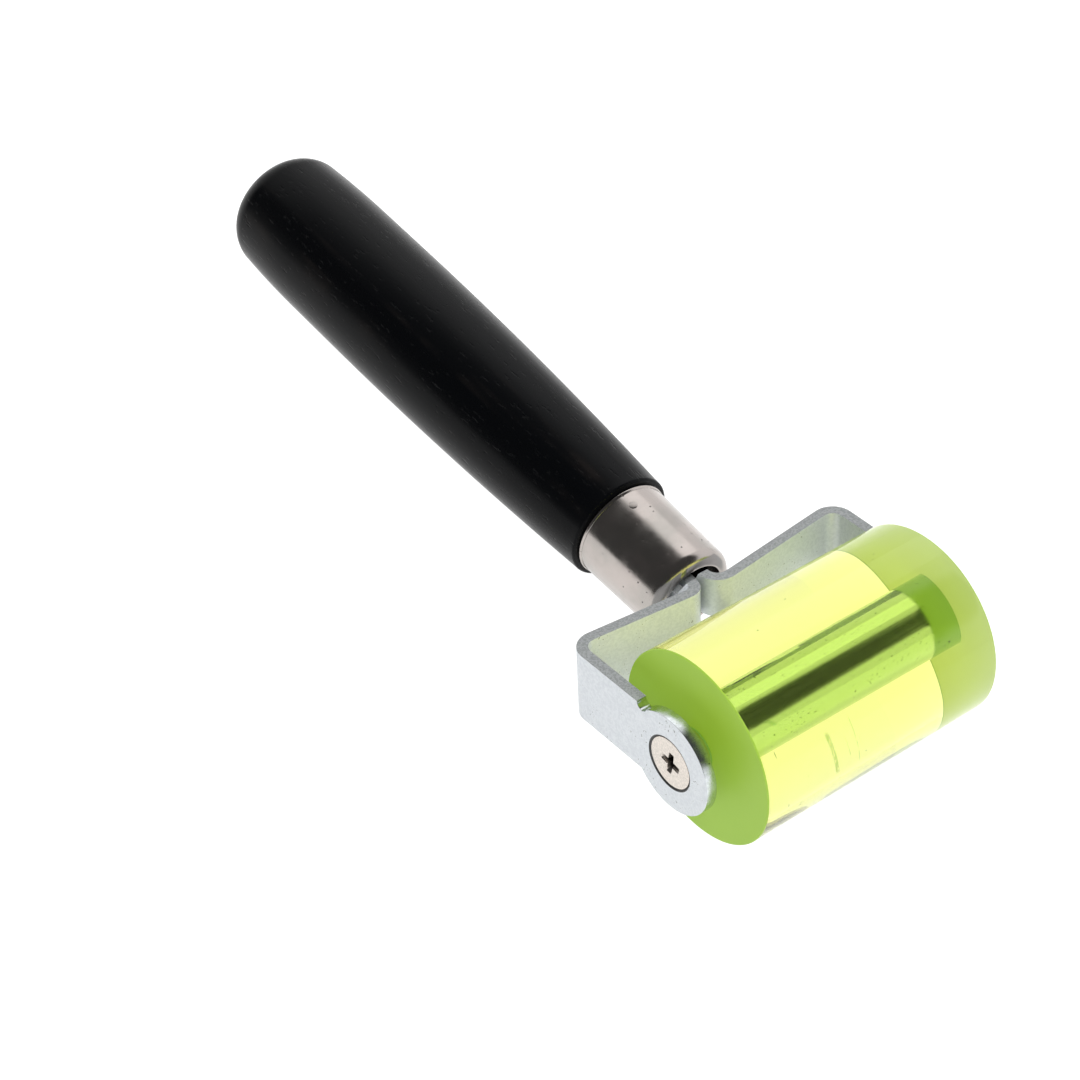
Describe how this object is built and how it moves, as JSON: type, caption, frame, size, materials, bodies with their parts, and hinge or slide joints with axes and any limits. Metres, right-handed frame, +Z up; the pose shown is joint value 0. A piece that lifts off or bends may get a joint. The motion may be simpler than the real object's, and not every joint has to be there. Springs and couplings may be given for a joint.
{
  "type": "rubber brayer",
  "caption": "Hand brayer: clear polyurethane roller turning on an axle in a bent steel fork, with a ferrule and a turned wooden handle.",
  "frame": {"origin": "bottom centre of the tool's box: under its middle, on the surface that the roller and the handle's belly lie on", "axes": "+Y along the handle, away from the roller; +Z up from the surface; X along the roller's axle"},
  "size_m": [0.0594, 0.1762, 0.035],
  "materials": {
    "black_lacquered_wood": "satin black lacquer over open grain",
    "nickel_plate": "bright nickel plate, slightly warm, with small pits",
    "nickel_brad": "nickel plate",
    "zinc_plate": "bright zinc plate, satin, with grey sheared edges",
    "clear_polyurethane": "clear yellow-green, glossy outside, frosted ends",
    "bright_steel": "polished",
    "nickel_fastener": "nickel plate, satin, warm"
  },
  "bodies": {
    "frame": {"handle": "black_lacquered_wood", "ferrule": "nickel_plate", "ferrule_brad": "nickel_brad", "fork_left": "zinc_plate", "fork_right": "zinc_plate", "axle_barrel": "nickel_fastener", "axle_screw": "nickel_fastener"},
    "roller": {"roller_tyre": "clear_polyurethane", "core_tube": "bright_steel"}
  },
  "joints": [
    {"name": "roller_spin", "type": "hinge", "parent": "frame", "child": "roller", "pos_m": [0, -0.07057, 0.0175], "axis": [1, 0, 0], "continuous": true}
  ]
}
